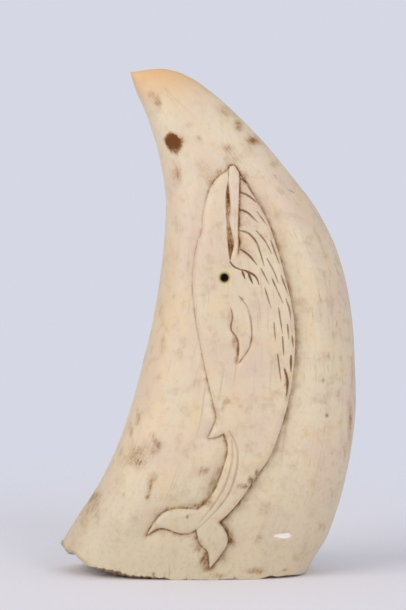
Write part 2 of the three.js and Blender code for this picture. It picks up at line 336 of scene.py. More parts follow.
# %% [markdown]
# ## A mesh that is fine only where the knife went
# One even mesh fine enough for the strokes would have millions of faces. So a coarse grid's edges
# are halved, again and again, where they are longer than the detail near them needs. Each new point
# goes exactly onto the skin, and neighbours share their halved edges, so the surface stays closed.

# %% The coarse grid, from the tip's point to the hollow's
AROUND = 80
ROWS = np.concatenate([np.linspace(0, 1, 60), np.linspace(1, 2, 5)[1:], np.linspace(2, 3, 14)[1:]])


def coarse_grid():
    """path, angle and triangles of a closed skin with a pole at each end."""
    rings = ROWS[1:-1]
    path = np.concatenate([[ROWS[0]], np.repeat(rings, AROUND), [ROWS[-1]]])
    angle = np.concatenate([[0], np.tile(np.arange(AROUND) * 2 * math.pi / AROUND, len(rings)), [0]])
    ring = 1 + np.arange(AROUND)
    after = 1 + (np.arange(AROUND) + 1) % AROUND
    last = len(path) - 1
    faces = [np.stack([np.zeros(AROUND, int), ring, after], 1)]
    for low in range(0, (len(rings) - 1) * AROUND, AROUND):
        faces.append(np.stack([ring, ring + AROUND, after + AROUND], 1) + low)
        faces.append(np.stack([ring, after + AROUND, after], 1) + low)
    far = (len(rings) - 1) * AROUND
    faces.append(np.stack([ring + far, np.full(AROUND, last), after + far], 1))
    return path, angle, np.concatenate(faces)


# %% How fine the mesh has to be
EYE_X, EYE_Z, EYE_HOLE = 4.5, 85.7, 1.0
LINE_SPACING = 0.25
EDGE_PLAIN, EDGE_BACK, EDGE_HOLLOW, EDGE_RIM = 1.4, 2.0, 2.8, 0.62  # in mm
EDGE_NEAR_LINE = ((0.4, 0.6, 1.4, 1.5), (0.23, 0.46, 0.95, EDGE_PLAIN))  # distance, longest edge
RIM_FROM = 0.985  # the path's value just above the rim

rings = [smooth_run([*ring, ring[0]], LINE_SPACING) for ring in (whale, mouth, lip, flipper)]
runs = [smooth_run(run, LINE_SPACING) for paths, *_ in STROKES for run in paths]
turns = np.linspace(0, 2 * math.pi, 24)
eye_rim = np.stack([EYE_X + EYE_HOLE * np.cos(turns), EYE_Z + EYE_HOLE * np.sin(turns)], 1)
on_lines = np.concatenate([*rings, *runs, eye_rim])
line_tree = kdtree.KDTree(len(on_lines))
for number, (x, z) in enumerate(on_lines):
    line_tree.insert((x, 0, z), number)
line_tree.balance()


def wanted_edge(points, path):
    """The longest edge allowed at each point."""
    x, y, z = points.T
    facing = (y < 0) & (path < 1)
    wanted = np.where(facing, EDGE_PLAIN, EDGE_BACK)
    wanted[path >= 2] = EDGE_HOLLOW
    wanted[(path >= RIM_FROM) & (path <= 2)] = EDGE_RIM
    near = np.flatnonzero(facing)
    gap = np.array([line_tree.find((x[n], 0, z[n]))[2] for n in near])
    wanted[near] = np.minimum(wanted[near], np.interp(gap, *EDGE_NEAR_LINE))
    return wanted


# %% Halve the long edges
def between(first, second):
    """The angle halfway between two, the short way round."""
    turn = (second - first + math.pi) % (2 * math.pi) - math.pi
    return (first + turn / 2) % (2 * math.pi)


def halve_long_edges(path, angle, faces):
    """One pass: splits each triangle at the middles of its long edges."""
    ends = np.sort(np.concatenate([faces[:, [n, (n + 1) % 3]] for n in range(3)]), axis=1)
    edges, use = np.unique(ends, axis=0, return_inverse=True)
    a, b = edges.T
    points, _ = skin_point(path, angle)
    pole_a, pole_b = (np.isin(path[end], (ROWS[0], ROWS[-1])) for end in (a, b))
    mid_path = (path[a] + path[b]) / 2
    mid_angle = np.where(pole_a, angle[b], np.where(pole_b, angle[a], between(angle[a], angle[b])))
    middle, _ = skin_point(mid_path, mid_angle)
    long = np.linalg.norm(points[a] - points[b], axis=1) > wanted_edge(middle, mid_path)
    number = np.where(long, len(path) + np.cumsum(long) - 1, -1)
    cut = number[use.reshape(-1)].reshape(3, -1).T
    code = (cut >= 0) @ (1, 2, 4)
    turn = np.array([0, 0, 1, 0, 2, 2, 1, 0])[code]
    order = (np.arange(3) + turn[:, None]) % 3
    faces, cut = np.take_along_axis(faces, order, 1), np.take_along_axis(cut, order, 1)
    count = (cut >= 0).sum(axis=1)
    all_points = np.concatenate([points, middle[long]])
    corner = np.concatenate([faces, cut], axis=1)

    def gap(first, second):
        return np.linalg.norm(all_points[corner[:, first]] - all_points[corner[:, second]], axis=1)

    flip = gap(0, 4) > gap(3, 2)
    patterns = [
        (count == 0, [(0, 1, 2)]),
        (count == 1, [(0, 3, 2), (3, 1, 2)]),
        ((count == 2) & ~flip, [(3, 1, 4), (0, 3, 4), (0, 4, 2)]),
        ((count == 2) & flip, [(3, 1, 4), (0, 3, 2), (3, 4, 2)]),
        (count == 3, [(0, 3, 5), (3, 1, 4), (5, 4, 2), (3, 4, 5)]),
    ]
    faces = np.concatenate([corner[chosen][:, new] for chosen, news in patterns for new in news])
    return np.append(path, mid_path[long]), np.append(angle, mid_angle[long]), faces


# %% Refine the grid
MOST_PASSES = 9
path, angle, faces = coarse_grid()
for attempt in range(MOST_PASSES):
    before = len(path)
    path, angle, faces = halve_long_edges(path, angle, faces)
    if len(path) == before:
        break
smooth_points, up = skin_point(path, angle)
print(f"{len(faces)} triangles after {attempt + 1} passes")

# %% [markdown]
# ## Carving
# The carver scraped the ground away beside the whale, most along the belly, rounded the whale's
# edge, sank the throat and opened the mouth. Sculpting by hand would do it. Here each cut is a small
# formula of how far a point lies inside or outside an outline. All depths are in millimetres.


# %% Slopes and grain
def ease(low, high, value):
    """0 below low, 1 above high, and an S curve between."""
    k = np.clip((value - low) / (high - low), 0, 1)
    return k * k * (3 - 2 * k)


def fading(distance, reach, power=2):
    """1 at no distance, falling to 0 at the reach."""
    return np.clip(1 - distance / reach, 0, 1) ** power


def roughness_at(points, size, octaves=3):
    """Soft irregular variation between about -1 and 1, with lumps of the given size in mm."""
    return np.array([noise.fractal(Vector(point) / size, 1.0, 2.0, octaves) for point in points])


FAR = 99.0
x, y, z = smooth_points.T
outside = path < 1
front = outside & (y < 0)
lumps = roughness_at(smooth_points, 16)
ripples = roughness_at(smooth_points + 70, 2.4)
print(f"the lumps reach from {lumps.min():.2f} to {lumps.max():.2f}")

# %% The ground round the whale
GROUND_DEPTH, DEEPER_AT_BELLY, DEEPER_LOW_DOWN = 1.35, 1.05, 0.35
GROUND_REACH, WIDER_AT_BELLY, WIDER_LOW_DOWN = 4.2, 4.6, 3.0
GROUND_FALL = 2.2  # above 1, the slope is steepest at the outline
in_whale = np.full(len(x), -FAR)
in_whale[front] = depth_inside(whale, x[front], z[front])
belly_side = ease(-3, 14, x + (60 - z) * 0.05)
low_down = 1 - ease(22, 48, z)
ground_depth = GROUND_DEPTH + DEEPER_AT_BELLY * belly_side + DEEPER_LOW_DOWN * low_down * (1 - belly_side)
ground_reach = GROUND_REACH + WIDER_AT_BELLY * belly_side + WIDER_LOW_DOWN * low_down
slope = fading(-in_whale, ground_reach, 1)
ground = -ground_depth * slope ** GROUND_FALL * (1 + 0.25 * ripples * slope)
print(f"the ground is scraped up to {-ground.min():.2f} mm deep")

# %% The whale's rounded edge, and how far inside its parts a point lies
EDGE_ROUND, EDGE_DROP = 2.0, 0.8
body = -EDGE_DROP * fading(in_whale, EDGE_ROUND)
in_lip, in_mouth, in_flipper = (np.full(len(x), -FAR) for _ in range(3))
near_whale = np.flatnonzero(in_whale > -3)
for field, ring in ((in_lip, lip), (in_mouth, mouth), (in_flipper, flipper)):
    field[near_whale] = depth_inside(ring, x[near_whale], z[near_whale])
print(*((field > 0).sum() for field in (in_whale, in_lip, in_mouth, in_flipper)), "points inside")

# %% The throat, the lip and the mouth
THROAT_DEPTH, LIP_RISE, JAW_DROP, MOUTH_DEPTH = 0.85, 0.2, 0.22, 0.85
SHALLOW_MOUTH_Z = 102.5
# the throat is scraped down beside the lip, and comes back up towards the belly
LIP_EDGE = ((88, 93, 103, 117), (7.4, 7.9, 8.1, 8.5))  # z, and x of the lip's right edge
throat_side = ease(0.1, 0.5, x - np.interp(z, *LIP_EDGE))
throat = ease(89, 93.5, z) * throat_side * fading(-in_lip, 6)
body -= THROAT_DEPTH * throat * (1 - ease(-0.05, 0.15, in_lip))
lip_form = ease(-0.1, 0.12, in_lip)
body += lip_form * LIP_RISE * (1 - fading(in_lip, 0.9))

# the upper jaw leans down into the mouth, which is a rough deep groove
jaw_side = ease(89, 94, z) * (1 - throat_side) * fading(-in_mouth, 2.2)
body -= JAW_DROP * jaw_side * (1 - lip_form)
mouth_depth = (MOUTH_DEPTH + 0.3 * ripples) * (1 - 0.5 * np.exp(-((z - SHALLOW_MOUTH_Z) / 2.2) ** 2))
body -= ease(-0.12, 0.3, in_mouth) * mouth_depth
print(f"the mouth is {mouth_depth[in_mouth > 0].mean():.2f} mm deep on average")

# %% The flipper and the flukes
FLANK_DEPTH, FLANK_LEFT, FLIPPER_RISE, FLUKE_DROP = 0.42, 0.5, 0.26, 0.3
# the flipper lies on the flank, free all round but at its root
free = 1 - ease(74, 79.5, z)
left_of_flipper = ease(-1, 1.5, 9.4 - x)
scraped = fading(-in_flipper, 1.5 + 1.6 * left_of_flipper)
flipper_form = ease(-0.14, 0.12, in_flipper)
flank = -(FLANK_DEPTH + FLANK_LEFT * left_of_flipper) * scraped
flank *= np.maximum(free, 0.35 * (1 - left_of_flipper))
blade = FLIPPER_RISE * (0.2 + 0.8 * free) * (1 - fading(in_flipper, 1.3))
body += flank * (1 - flipper_form) + blade * flipper_form

# the flukes dip a little towards their points
FLUKES_X, FLUKES_Z = -3.0, 15.5  # where they meet
from_tail = np.hypot(x - FLUKES_X, z - FLUKES_Z)
body -= FLUKE_DROP * (1 - ease(14, 20, z)) * ease(2, 14, from_tail)
print(f"the flipper rises {blade.max():.2f} mm beside a flank sunk by {-flank.min():.2f} mm")

# %% The hole for the eye
EYE_WELL, EYE_DISH = 1.3, 0.12
from_eye = np.where(front, np.hypot(x - EYE_X, z - EYE_Z), FAR)
body -= EYE_WELL * (1 - ease(EYE_HOLE - 0.12, EYE_HOLE + 0.1, from_eye))
body -= EYE_DISH * (1 - ease(EYE_HOLE, EYE_HOLE + 0.9, from_eye))
print("points in the eye's hole:", int((from_eye < EYE_HOLE).sum()))

# %% A fresh flake off the face
FLAKE_X, FLAKE_Z, FLAKE_HIGH, FLAKE_DEPTH = 22.0, 12.5, 1.0, 0.3
FLAKE_TAIL, FLAKE_HEAD = 5.0, 1.9  # how far it runs to the left, thinning out, and to the right
along = (x - FLAKE_X) / np.where(x > FLAKE_X, FLAKE_HEAD, FLAKE_TAIL)
high = FLAKE_HIGH * (1 - 0.45 * np.clip(-along * 1.3, 0, 1))
flake = 1 - np.hypot(along, (z - FLAKE_Z) / high) + 0.3 * ripples  # negative outside
flake = np.where(front, flake, -9)
print("flaked points:", int((flake > 0).sum()))

# %% The chipped and worn rim
RIM_CHIPS = [  # place, half width and height of the bites out of the front of the level rim
    (17.4, 1.7, 0.75), (22.4, 4.0, 0.75), (6.2, 2.4, 0.3), (-12.6, 1.3, 0.35), (-3.2, 1.6, 0.15),
]
CRUMBLED_X, CORNER_X = -17.0, (24, 29)  # the rim is most worn here, and at the right corner
RIM_WALL = 5.0  # the wall's thickness
WORN_REACH, BITE_REACH = 0.7, 1.3  # how far the wear goes, and how much further at a bite
WORN_TOP, WORN_SIDE, BITE_DEPTH = 0.1, 0.12, 0.5  # how deep it is on the rim and beside it
knob = 1 - ease(*KNOB, x)
chip_height = sum(tall * np.exp(-np.abs((x - at) / wide) ** 2.5) for at, wide, tall in RIM_CHIPS)
chip_height = chip_height * (1 - ease(-6, -1, y))
above_rim = z - underside(x, y)
bites = np.clip(roughness_at(smooth_points * (1, 1, 0) + 31, 2.1, 2) * 1.6 - 0.15, 0, 1)
bites += 0.9 * (1 - ease(0, 3.0, np.abs(x - CRUMBLED_X))) * np.clip(ripples + 0.3, 0, 1)
bites += 0.7 * ease(*CORNER_X, x)
bites = 0.75 * bites * (1 - knob) + 0.95 * knob
worn_reach = WORN_REACH + BITE_REACH * bites
worn_outside = np.where(outside, fading(above_rim, worn_reach), 0)
rim_points = (path >= 1) & (path <= 2)
from_edge = np.where(rim_points, (path - 1) * RIM_WALL, FAR)
worn_rim = fading(from_edge, worn_reach)
print("worn points:", int((worn_outside > 0).sum()))

# %% Add the cuts up
LUMP_HEIGHT, RIPPLE_HEIGHT, HOLLOW_RIPPLES = 0.16, 0.02, 0.35
BREAK_SLOPE = 0.38  # the broken wall slopes down inwards
step_up = ease(-0.13, 0.13, in_whale)
relief = np.where(front, ground * (1 - step_up) + body * step_up, 0)
growth = LUMP_HEIGHT * lumps + RIPPLE_HEIGHT * ripples
cut = relief + np.where(outside, growth * (1 - 0.7 * ease(-2, 1, in_whale)), 0)
cut -= FLAKE_DEPTH * np.clip(flake * 2.5, 0, 1)
cut -= (WORN_SIDE + BITE_DEPTH * bites) * worn_outside
cut += np.where(path > 2, HOLLOW_RIPPLES * ripples * np.clip(path - 2, 0, 1), 0)

# the smooth skin's own outward directions, from the triangles that meet at each point
corners = smooth_points[faces]
normal = np.cross(corners[:, 1] - corners[:, 0], corners[:, 2] - corners[:, 0])
direction = np.zeros_like(smooth_points)
for n in range(3):
    np.add.at(direction, faces[:, n], normal)
direction /= np.linalg.norm(direction, axis=1)[:, None]
direction[path == 1] *= (1, 1, 0)
carved = smooth_points + direction * cut[:, None]
edge_height = underside(x, y) + chip_height
slope_down = BREAK_SLOPE * (1 - knob) * (1 + 0.3 * ripples) * np.clip(path - 1, 0, 1) * RIM_WALL
rim_height = edge_height + (WORN_TOP + BITE_DEPTH * bites) * worn_rim - slope_down
carved[rim_points, 2] = rim_height[rim_points]
chip_share = fading(above_rim, 1.2 + 1.5 * chip_height, 1)
carved[:, 2] += np.where(outside, chip_height * chip_share, 0)
low_in_hollow = fading(path - 2, 0.3, 1) * (path > 2)
carved[:, 2] -= low_in_hollow * np.minimum(edge_height, slope_down)
carved[:, 2] = np.maximum(carved[:, 2], 0)
print(f"the carving goes from {cut.min():.2f} to {cut.max():.2f} mm")

# %% [markdown]
# ## Where dirt, colour and painted shade lie
# Dirt lies in corners that a thumb doesn't reach, and painted shade darkens the recesses beside the
# relief; the old surface has brown stains of its own.
# A painted image would need a UV map. Here every point of the mesh carries a few plain numbers, and
# the material gives them ragged edges and colour.

# %% Stains of the old surface: place, half width, half height and strength
STAINS = [
    (-10.7, 124.7, 1.9, 2, 1.2), (-9.7, 123.2, 2.15, 2.5, 1.25), (-8.2, 124.6, 2.2, 2.4, 0.5),
    (-15.7, 137.4, 1.7, 1.1, 0.4), (-14.3, 135.2, 1.1, 1.1, 0.58), (-15.2, 136.4, 2.4, 2, 0.25),
    (13, 124.1, 1.9, 1.5, 0.66), (12, 124.2, 3.4, 2.4, 0.18), (8.7, 128.6, 1.6, 1.9, 0.76),
    (5.2, 132.6, 3.2, 1.8, 0.4), (2.6, 134, 2, 1.6, 0.18), (-2.6, 125, 1.4, 1.4, 0.36),
    (18.4, 117.6, 1.7, 1.7, 0.36), (7.1, 120.3, 2.8, 2.2, 0.34), (6, 122.6, 1.2, 1, 0.2),
    (5.2, 122, 1.6, 1.2, 0.25), (-1.6, 117.6, 5.5, 2.6, 0.12), (1.2, 114.8, 3, 2.2, 0.14),
    (-8.9, 113.6, 1.2, 3.2, 0.56), (-9.6, 117.2, 1.6, 3, 0.16), (-1, 114.2, 2.4, 4.2, 0.16),
    (17.2, 113, 2.6, 3.4, 0.14), (40.4, 43.6, 0.8, 7, 0.6), (38.9, 35.5, 0.7, 3.4, 0.4),
    (41.2, 57, 0.6, 9, 0.35), (12, 119.6, 3.4, 2.6, 0.12), (-13.6, 75.4, 1.2, 4.2, 0.3),
    (-13, 66, 1.1, 2.8, 0.38), (-7.7, 63.2, 1, 3.2, 0.26), (-13.2, 51, 2.2, 1.6, 0.26),
    (-7.2, 48.8, 2.4, 1.8, 0.28), (4.2, 49.3, 0.7, 1.5, 0.5), (5.2, 51, 0.9, 1.1, 0.42),
    (-19.8, 45.4, 1.3, 2.4, 0.45), (-22.2, 41.8, 1, 3.4, 0.4), (-15.7, 40.9, 0.9, 0.9, 0.45),
    (-15, 39.2, 0.9, 0.9, 0.5), (-14.3, 38.2, 0.9, 0.8, 0.4), (-15.2, 36.5, 1.3, 1.1, 0.6),
    (-15.2, 38.4, 1.9, 3.2, 0.22), (-20.4, 35, 3.8, 3.4, 0.38), (-19.2, 36.8, 1.6, 1.2, 0.2),
    (-19.4, 32.6, 3, 1.6, 0.26), (-25.2, 34.6, 1.2, 3.6, 0.3), (-1.3, 31.2, 1.3, 1.2, 0.4),
    (-1, 31.6, 2.6, 2.2, 0.12), (-15.2, 29.4, 1, 1.1, 0.35), (-16.4, 28, 1.4, 0.9, 0.4),
    (-16.6, 26.2, 0.9, 1.1, 0.42), (-17.4, 23.6, 0.8, 1, 0.5), (-16.4, 26.6, 1.6, 3.4, 0.25),
    (-23.9, 23.7, 0.5, 0.4, 0.6), (-32.8, 21.4, 1.5, 2.8, 0.44), (-34.4, 18.9, 1.9, 3.4, 0.32),
    (-36.2, 15.6, 1.8, 3, 0.3), (-31.2, 22.6, 1.4, 2.2, 0.25), (-31.5, 17.2, 1, 2.6, 0.22),
    (32.1, 33.6, 1.4, 3.2, 0.26), (16.6, 20.2, 3.4, 2.6, 0.3), (20.6, 23, 4.6, 5, 0.12),
    (24.2, 31.5, 2.4, 3, 0.16), (14.6, 11.6, 2, 1.8, 0.4), (19.2, 9.6, 1, 2, 0.3),
    (32.3, 14.4, 1.4, 1.9, 0.3), (27.4, 8.2, 1.2, 2.4, 0.4), (25.2, 5.6, 1.6, 1.4, 0.4),
    (13.2, 2.5, 3.4, 1.2, 0.62), (21.9, 2.4, 1.4, 0.4, 0.6), (2.4, 1, 2.8, 1.1, 0.5),
    (-15.4, 1.6, 0.8, 0.7, 0.5), (25.4, 88, 0.9, 4.4, 0.24), (24.4, 70, 2.2, 5, 0.12),
    (31.6, 76, 1, 6, 0.24), (35.2, 57, 1, 5, 0.3), (29.6, 27.4, 1.2, 1.6, 0.3),
    (33.6, 46.4, 0.55, 0.7, 0.7), (36.8, 52.4, 0.7, 1.8, 0.5), (34, 63.6, 0.5, 0.9, 0.6),
    (32.4, 56.4, 0.5, 0.8, 0.6), (-5.6, 18.2, 0.8, 0.6, 0.95), (-8.4, 96, 1, 4, 0.12),
    (-38, 8.6, 4, 2.4, 0.22), (-24.5, 12.6, 5.5, 4.5, 0.2),
]


FIRM, SOFT = 7, 2  # how suddenly a spot ends; those of strength 1 and more have a firm edge


def spot(at_x, at_z, wide, tall, strength, firmness=SOFT):
    """An oval spot on the face, of the given strength in its middle."""
    return strength * np.exp(-np.hypot((x - at_x) / wide, (z - at_z) / tall) ** firmness)


stain = sum(spot(*row, FIRM if row[-1] >= 1 else SOFT) for row in STAINS)
stain = np.where(outside, stain * (1 - ease(-2, 5, y)), 0)  # none on the tooth's back
print(len(STAINS), "stains,", int((stain > 0.2).sum()), "stained points")

# %% Dirt and painted shade in the corners
DIRT_AND_SHADE = [
    (1.4, 27.8, 1.5, 2.4, 0.48), (2.8, 31.4, 1.2, 2.8, 0.4), (0.4, 24.6, 1.5, 2, 0.5),
    (-0.9, 22.2, 2.2, 1.4, 0.6), (-4.5, 21.3, 3.6, 1.1, 0.62), (-11.6, 20.4, 2.8, 1, 0.5),
    (-17.8, 12.6, 1.6, 1.5, 0.42), (-15.4, 15.9, 1.6, 2, 0.3), (-13.5, 13.4, 2, 1, 0.34),
    (-6.5, 12.4, 3.2, 1.1, 0.4), (-3.6, 12.2, 1.3, 1.6, 0.5), (-2.6, 9.2, 1.4, 2.8, 0.6),
    (-1.2, 5.6, 1.4, 2.6, 1), (0, 2.9, 1.6, 1.2, 0.7), (6.6, 11.4, 1.3, 3, 0.72),
    (4.3, 6.2, 1.1, 2.6, 0.5), (3.7, 16.5, 0.9, 1, 0.85), (5, 14.6, 1.1, 1.6, 0.5),
    (9.8, 26.9, 1.9, 0.9, 0.85), (12, 28.4, 1, 1.4, 1.1), (13.6, 30.4, 0.8, 1.4, 0.7),
    (4.7, 41, 1, 0.8, 0.45), (0.4, 41.4, 0.8, 1.2, 0.35), (2.2, 44.4, 0.6, 1.6, 0.4),
    (7.3, 67.6, 1.3, 2.2, 0.6), (8.1, 65.6, 0.5, 1.8, 0.6), (7.9, 62.2, 0.8, 1.4, 0.55),
    (6.4, 72, 0.8, 1.4, 0.3), (5.8, 74.8, 1.1, 2, 0.42), (9.3, 79.7, 0.8, 0.8, 0.5),
    (0.6, 112.4, 1.4, 1.8, 0.45), (3.2, 115.6, 1.8, 1, 0.5), (10.4, 113.8, 0.8, 2.4, 0.7),
    (15.4, 105.4, 0.6, 1.4, 0.5), (17.5, 101.5, 0.6, 1, 0.5), (-2.6, 99, 0.7, 2.4, 0.35),
    (22.2, 55, 0.9, 4.6, 0.5), (24.6, 76.5, 0.8, 5, 0.3), (9.4, 109.9, 0.6, 0.5, 0.4),
]
off_whale, off_flipper, off_lip = (np.clip(-inside, 0, FAR) for inside in (in_whale, in_flipper, in_lip))
on_ground = np.where(front & (in_whale < 0.15), 1.0, 0.0)
darker_low_down = 1 - ease(18, 34, z)
near_snout = ease(103, 112, z)
fainter_on_back = ease(58, 70, z) * (1 - ease(106, 112, z)) * (1 - belly_side)
narrow_share = 0.28 + 0.16 * darker_low_down + 0.22 * near_snout + 0.12 * belly_side - 0.14 * fainter_on_back
broad_share = 0.09 + 0.2 * darker_low_down + 0.12 * belly_side + 0.06 * near_snout
# along the whale's outline: a narrow dark band of dirt and painted shade at the step, and a broad soft
# band of painted shade over the scraped ground
dirt_and_shade = on_ground * np.exp(-(off_whale / 0.55) ** 2) * narrow_share
dirt_and_shade += on_ground * np.exp(-off_whale / 2.6) * broad_share
in_groove = ease(-0.1, 0.3, in_mouth) * (1 - 0.45 * np.exp(-((z - SHALLOW_MOUTH_Z) / 2) ** 2))
dirt_and_shade = np.maximum(dirt_and_shade, 0.9 * in_groove)
# a dark line on the flank just outside the flipper's edge
beside_flipper = np.exp(-(off_flipper / 0.45) ** 2) * (1 - flipper_form)
dirt_and_shade = np.maximum(dirt_and_shade, 0.6 * beside_flipper * free)
# painted shadow: a dark line on the throat beside the raised lip
beside_lip = np.exp(-(off_lip / 0.45) ** 2) * (1 - lip_form) * throat_side
dirt_and_shade = np.maximum(dirt_and_shade, 0.5 * beside_lip * ease(90, 93, z))
# painted shade over the sunk throat, darkest next to the lip
in_throat = throat_side * (1 - lip_form) * ease(90, 94, z) * (in_whale > 0)
dirt_and_shade += (0.26 + 0.24 * np.exp(-off_lip / 1.2)) * np.exp(-off_lip / 12) * in_throat
# brown spots in the corners of the carving: dirt, and painted shade in the gouge beside the flipper and
# round the flukes
for row in DIRT_AND_SHADE:
    dirt_and_shade = np.where(front, np.maximum(dirt_and_shade, spot(*row)), dirt_and_shade)
print("mean dirt on the face:", dirt_and_shade[front].mean().round(3))

# %% The numbers that each point of the mesh carries
HOLLOW_FADE = 0.35
HALO_REACH, RING_WIDTH = 3.2, 0.95
GRAIN_ACROSS, GRAIN_ALONG = 38, 165  # the grain's measures across and along, in mm
ALONG_STRETCH = 0.07  # growth lines are drawn out along the tooth
in_hollow = ease(2.0, 2 + HOLLOW_FADE, path)
measures = {
    "dirt_and_shade": dirt_and_shade,
    "stain": stain,
    "up": up,
    "flake": flake,
    "halo": 1 - from_eye / HALO_REACH,
    "eye_ring": 1 - ease(EYE_HOLE - 0.1, EYE_HOLE + RING_WIDTH, from_eye),
    "inside": in_hollow,
    "broken": ease(1.0, 1.08, path) * (1 - 0.5 * in_hollow) * (1 - 0.8 * knob),
}
grain = np.stack([flatten(np.cos(angle)) * GRAIN_ACROSS, y, up * GRAIN_ALONG * ALONG_STRETCH], 1)


def mesh_object(name, points, faces):
    """A smooth mesh piece from points in metres."""
    mesh = bpy.data.meshes.new(name)
    mesh.from_pydata(points, [], faces)
    mesh.polygons.foreach_set("use_smooth", [True] * len(mesh.polygons))
    piece = bpy.data.objects.new(name, mesh)
    bpy.context.scene.collection.objects.link(piece)
    return piece


tooth = mesh_object("carved_tooth", (carved * MM).tolist(), faces.tolist())
for name, values in measures.items():
    tooth.data.attributes.new(name, "FLOAT", "POINT").data.foreach_set("value", values)
tooth.data.attributes.new("grain", "FLOAT_VECTOR", "POINT").data.foreach_set("vector", grain.ravel())
print(f"{tooth.name}: {len(tooth.data.polygons)} triangles")

# %% [markdown]
# ## Engraving with Geometry Nodes
# The strokes all follow one rule: go along a path and press the tool in. So Geometry Nodes cut them.
# The paths lie flat on the drawing, as loose edges that carry their width, depth and darkness. The
# tree makes them smooth curves and rows of points. Each point of the face then finds the nearest one
# on the drawing and sinks straight back by a rounded V.


# %% One way to add a node
def feed(tree, node, inputs):
    """Sets a node's inputs, by name or number, to values or links them to sockets or nodes."""
    for key, value in inputs.items():
        named = [s for s in node.inputs if s.enabled and s.name == key]
        socket = node.inputs[key] if isinstance(key, int) else named[0]
        if isinstance(value, bpy.types.Node):
            value = next(s for s in value.outputs if s.enabled)
        if isinstance(value, bpy.types.NodeSocket):
            tree.links.new(value, socket)
        else:
            socket.default_value = value
    return node


def add(tree, kind, settings=None, inputs=None):
    """A new node with its settings and inputs."""
    node = tree.nodes.new(kind)
    for name, value in (settings or {}).items():
        setattr(node, name, value)
    return feed(tree, node, inputs or {})


def new_material(name):
    """A material, its tree, its shader and the place on the object, in metres."""
    material = bpy.data.materials.new(name)
    material.use_nodes = True
    tree = material.node_tree
    coords = add(tree, "ShaderNodeTexCoord").outputs["Object"]
    return material, tree, tree.nodes["Principled BSDF"], coords


# %% The strokes as loose edges on the drawing
def stroke_drawing():
    """Every stroke on the plane y = 0. The tool enters quickly and leaves in a long thin tail."""
    places, edges, widths, depths, tones = [], [], [], [], []
    for paths, half_width, depth, darkness in STROKES:
        for path_points in paths:
            run = smooth_run(path_points, 1.2)
            share = np.linspace(0, 1, len(run))
            press = np.minimum(1, 0.7 + 3 * share) * np.minimum(1, 0.35 + 1.7 * (1 - share))
            edges += [(len(places) + n, len(places) + n + 1) for n in range(len(run) - 1)]
            places += [(px * MM, 0, pz * MM) for px, pz in run]
            widths += list(half_width * press * MM)
            depths += list(depth * press * MM)
            tones += [darkness] * len(run)
    mesh = bpy.data.meshes.new("stroke_drawing")
    mesh.from_pydata(places, edges, [])
    for name, values in (("half_width", widths), ("depth", depths), ("tone", tones)):
        mesh.attributes.new(name, "FLOAT", "POINT").data.foreach_set("value", values)
    drawing = bpy.data.objects.new("stroke_drawing", mesh)
    bpy.context.scene.collection.objects.link(drawing)
    return drawing


